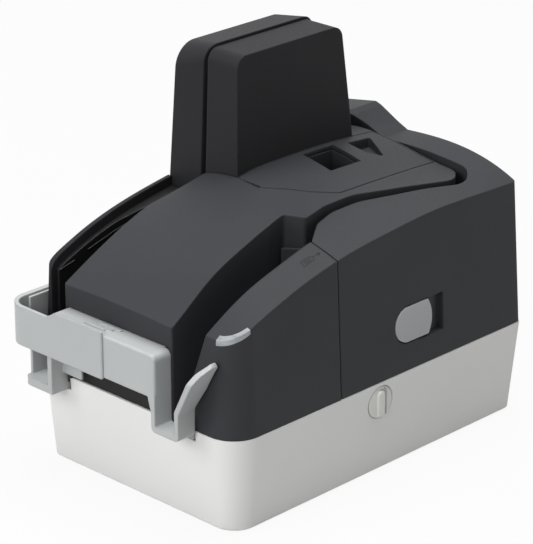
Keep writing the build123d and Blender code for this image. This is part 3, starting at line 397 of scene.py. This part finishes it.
def roundTopBar(name, s, x0, x1):
    y0, y1 = s["y"]
    z0, z1 = s["z"]
    bpy.ops.object.select_all(action="DESELECT")
    bpy.ops.mesh.primitive_cube_add(size=1, location=place((x0 + x1) / 2, (y0 + y1) / 2, (z0 + z1) / 2))
    bar = bpy.context.object
    bar.name = name
    bar.scale = Vector((x1 - x0, y1 - y0, z1 - z0)) * mm
    bpy.ops.object.transform_apply(location=True, rotation=True, scale=True)
    high = max(v.co.z for v in bar.data.vertices)
    bpy.ops.object.mode_set(mode="EDIT")
    bpy.ops.mesh.select_mode(type="EDGE")
    bpy.ops.mesh.select_all(action="DESELECT")
    bpy.ops.object.mode_set(mode="OBJECT")
    for edge in bar.data.edges:  # the two upper edges that run into the base
        ends = [bar.data.vertices[i].co for i in edge.vertices]
        level = min(v.z for v in ends) > high - weld
        edge.select = level and abs(ends[0].x - ends[1].x) > weld
    bpy.ops.object.mode_set(mode="EDIT")
    bpy.ops.mesh.bevel(offset=s["round"] * mm, segments=10)
    bpy.ops.object.mode_set(mode="OBJECT")
    softenEdges(bar, s["soft"], 4, 45)
    return bar


bpy.ops.object.select_all(action="DESELECT")
bpy.ops.mesh.primitive_cylinder_add(
    vertices=knob["sides"], radius=knob["radius"] * mm, depth=(knob["face"] - knob["back"]) * mm,
    rotation=(0, math.pi / 2, 0), location=place((knob["face"] + knob["back"]) / 2, *knob["centre"]))
disc = bpy.context.object
disc.name = "ridged_knob"
bpy.ops.object.transform_apply(location=True, rotation=True, scale=True)
softenEdges(disc, knob["rim"], 3, 30)
cutter = roundTopBar("field_cutter", knob["field"], knob["floor"], knob["top"] + knob["cutterAbove"])
sunk = disc.modifiers.new("sunkField", "BOOLEAN")
sunk.operation = "DIFFERENCE"
sunk.object = cutter
bpy.context.view_layer.objects.active = disc
bpy.ops.object.modifier_apply(modifier=sunk.name)
bpy.data.objects.remove(cutter)
ridge = roundTopBar("finger_ridge", knob["ridge"], knob["floor"] - knob["ridgeSunk"], knob["top"])
stem = mergedCopy("knob_stem", "base_knob")
bpy.ops.mesh.bisect(plane_co=place(knob["back"] - knob["stemShort"], *knob["centre"]), plane_no=(1, 0, 0),
                    use_fill=True, clear_outer=True)
bpy.ops.object.mode_set(mode="OBJECT")
pick(stem, ridge, disc)
bpy.ops.object.join()
disc.data.materials.clear()
disc.data.materials.append(plastic["ivory_grey_knob_abs"])
bpy.ops.object.shade_smooth_by_angle(angle=math.radians(40))
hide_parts("base_knob")
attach(disc, "base_knob")
print("knob modelled")


# thin lines that follow a moulded face: strips laid on it from one side, then given a thickness
def drapedLines(s):
    strips = []
    out = Vector(s["out"])
    lift = out * 3 * mm  # clear of the face until it is laid on
    for start, end in s["lines"]:
        a, b = place(*start), place(*end)
        along = (b - a).normalized()
        along = (along - out * along.dot(out)).normalized()
        bpy.ops.object.select_all(action="DESELECT")
        bpy.ops.mesh.primitive_plane_add(size=1, location=(a + b) / 2 + lift)
        strip = bpy.context.object
        strip.rotation_mode = "QUATERNION"
        strip.rotation_quaternion = Matrix((along, out.cross(along), out)).transposed().to_quaternion()
        strip.scale = ((b - a).length + s["width"] * mm, s["width"] * mm, 1)
        bpy.ops.object.transform_apply(location=True, rotation=True, scale=True)
        bpy.ops.object.mode_set(mode="EDIT")
        bpy.ops.mesh.select_all(action="SELECT")
        bpy.ops.mesh.subdivide(number_cuts=s["cuts"])
        bpy.ops.object.mode_set(mode="OBJECT")
        strips.append(strip)
    pick(*reversed(strips))
    piece = strips[0]
    bpy.ops.object.join()
    piece.name = s["name"]
    lay = piece.modifiers.new("layOn", "SHRINKWRAP")
    lay.wrap_method = "PROJECT"
    lay.use_project_x = abs(out.x) > 0.5
    lay.use_project_z = abs(out.z) > 0.5
    lay.use_negative_direction = True
    lay.use_positive_direction = True
    lay.wrap_mode = "ABOVE_SURFACE"
    lay.offset = s["proud"] * mm
    lay.target = cad[s["on"]]
    bpy.ops.object.modifier_apply(modifier=lay.name)
    wall = piece.modifiers.new("thickness", "SOLIDIFY")
    wall.thickness = s["thick"] * mm
    wall.offset = -1
    bpy.ops.object.modifier_apply(modifier=wall.name)
    piece.data.materials.clear()
    piece.data.materials.append(s["finish"])
    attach(piece, s["body"])
    print(piece.name, "laid on", s["on"])


# the engraved outline is drawn as raised black strips: the black is painted shade of the engraved grooves
pictogram = {
    "name": "document_pictogram", "on": "right_front_cover", "body": "chassis", "slot": "charcoal_plastic",
    "finish": plastic["black_glass_filled_nylon"], "out": (0, 0, 1), "width": 0.35, "thick": 0.2, "proud": 0.05,
    "cuts": 6,
    "lines": [((111.9, 56.4, 113), (114.9, 55.5, 113)), ((114.9, 55.5, 113), (115.1, 61.9, 113)),
              ((115.1, 61.9, 113), (113.2, 62.6, 113)), ((113.2, 62.6, 113), (112.1, 61.4, 113)),
              ((112.1, 61.4, 113), (111.9, 56.4, 113)), ((112.9, 57.4, 113), (113.1, 60.8, 113)),
              ((113.9, 57.2, 113), (114.1, 60.6, 113)), ((113.5, 63.2, 113), (113.7, 66.4, 113)),
              ((112.6, 65.5, 113), (113.7, 66.4, 113)), ((113.7, 66.4, 113), (114.7, 65.2, 113))]}
# the ribs are given a paler plastic: a painted highlight along their edges
guideRibs = {
    "name": "channel_ribs", "on": "left_guide", "body": "chassis", "slot": "black_plastic",
    "finish": plastic["pale_rib_abs_painted_highlight"], "out": (1, 0, 0), "width": 0.4, "thick": 0.5, "proud": 0.35, "cuts": 20,
    "lines": [((7.2, 23.4, 99.0), (7.6, 54.5, 108.1)), ((7.0, 6.4, 93.8), (7.1, 15.0, 95.9))]}
drapedLines(pictogram)
drapedLines(guideRibs)


# stage
def seenDirectly(tree):
    # camera, glossy and transmission rays see plain white; the others light the object
    path = addNode(tree, "ShaderNodeLightPath")
    seen = path.outputs["Is Camera Ray"]
    for ray in ("Is Glossy Ray", "Is Transmission Ray"):
        seen = addNode(tree, "ShaderNodeMath", {"operation": "MAXIMUM"}, {0: seen, 1: path.outputs[ray]}).outputs[0]
    return seen


floor = {"size": 6, "shade": "#c6c6c6", "pale": "#cecece", "ownLight": 0.92}
bpy.ops.object.select_all(action="DESELECT")
bpy.ops.mesh.primitive_plane_add(size=floor["size"], location=(0, 0, 0))
ground = bpy.context.object
ground.name = "studio_floor"
paper, tree, shader, spot = newMaterial("matt_white_paper", {"Roughness": 0.9})
mottle = addNode(tree, "ShaderNodeTexNoise", {"Scale": perMm(60), "Detail": 2}, {"Vector": spot}).outputs["Fac"]
shade = addNode(tree, "ShaderNodeMix", {"data_type": "RGBA", "A": colour(floor["shade"]), "B": colour(floor["pale"])},
                {"Factor": mottle}).outputs["Result"]
tree.links.new(shade, shader.inputs["Base Color"])
glow = addNode(tree, "ShaderNodeEmission", {"Color": (1, 1, 1, 1), "Strength": 1})
share = addNode(tree, "ShaderNodeMath", {"operation": "MULTIPLY", 1: floor["ownLight"]},
                {0: seenDirectly(tree)}).outputs[0]
blend = addNode(tree, "ShaderNodeMixShader", {}, {0: share, 1: shader.outputs[0], 2: glow.outputs[0]})
tree.links.new(blend.outputs[0], [n for n in tree.nodes if n.type == "OUTPUT_MATERIAL"][0].inputs["Surface"])
ground.data.materials.append(paper)

lampAim = Vector((0, 0, 0.06))
lamps = [
    {"name": "key_softbox", "at": (-0.7, -1.5, 1.1), "size": 1.1, "power": 13},
    {"name": "top_softbox", "at": (0.0, 0.2, 1.8), "size": 1.2, "power": 32},
    {"name": "fill_softbox", "at": (0.4, -1.6, 0.8), "size": 0.8, "power": 11},
]
for lamp in lamps:
    bpy.ops.object.select_all(action="DESELECT")
    bpy.ops.object.light_add(type="AREA", location=lamp["at"])
    light = bpy.context.object
    light.name = lamp["name"]
    light.data.size = lamp["size"]
    light.data.energy = lamp["power"]
    light.rotation_mode = "QUATERNION"
    light.rotation_quaternion = (lampAim - Vector(lamp["at"])).to_track_quat("-Z", "Y")

backdrop = {"fill": 0.14, "seen": 1.0}
world = bpy.data.worlds.new("studio")
bpy.context.scene.world = world
world.use_nodes = True
tree = world.node_tree
tree.nodes.clear()
around = addNode(tree, "ShaderNodeBackground", {"Color": (1, 1, 1, 1), "Strength": backdrop["fill"]})
behind = addNode(tree, "ShaderNodeBackground", {"Color": (1, 1, 1, 1), "Strength": backdrop["seen"]})
blend = addNode(tree, "ShaderNodeMixShader", {}, {0: seenDirectly(tree), 1: around.outputs[0], 2: behind.outputs[0]})
addNode(tree, "ShaderNodeOutputWorld", {}, {"Surface": blend.outputs[0]})
bpy.context.scene.view_settings.view_transform = "Standard"
print("stage and lights set")
